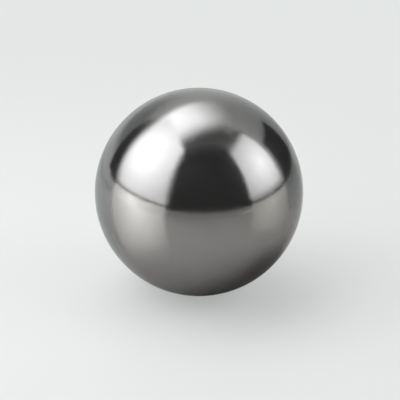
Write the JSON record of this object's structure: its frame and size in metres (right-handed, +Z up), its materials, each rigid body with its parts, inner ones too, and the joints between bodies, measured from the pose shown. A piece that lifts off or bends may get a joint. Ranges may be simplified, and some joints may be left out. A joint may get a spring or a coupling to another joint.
{
  "type": "tungsten ball",
  "caption": "Solid polished tungsten ball, a true sphere with no hole, flat or seam.",
  "frame": {"origin": "centre of the ball", "axes": "+Z up; the ball is the same about every axis through its centre, so X and Y are free, and the seat is at its lowest point, facing -Z"},
  "size_m": [0.0254, 0.0254, 0.0254],
  "materials": {
    "polished_tungsten": "ground and lapped to a soft mirror, mid grey and slightly warm"
  },
  "bodies": {
    "root": {"ball": "polished_tungsten"}
  },
  "joints": []
}
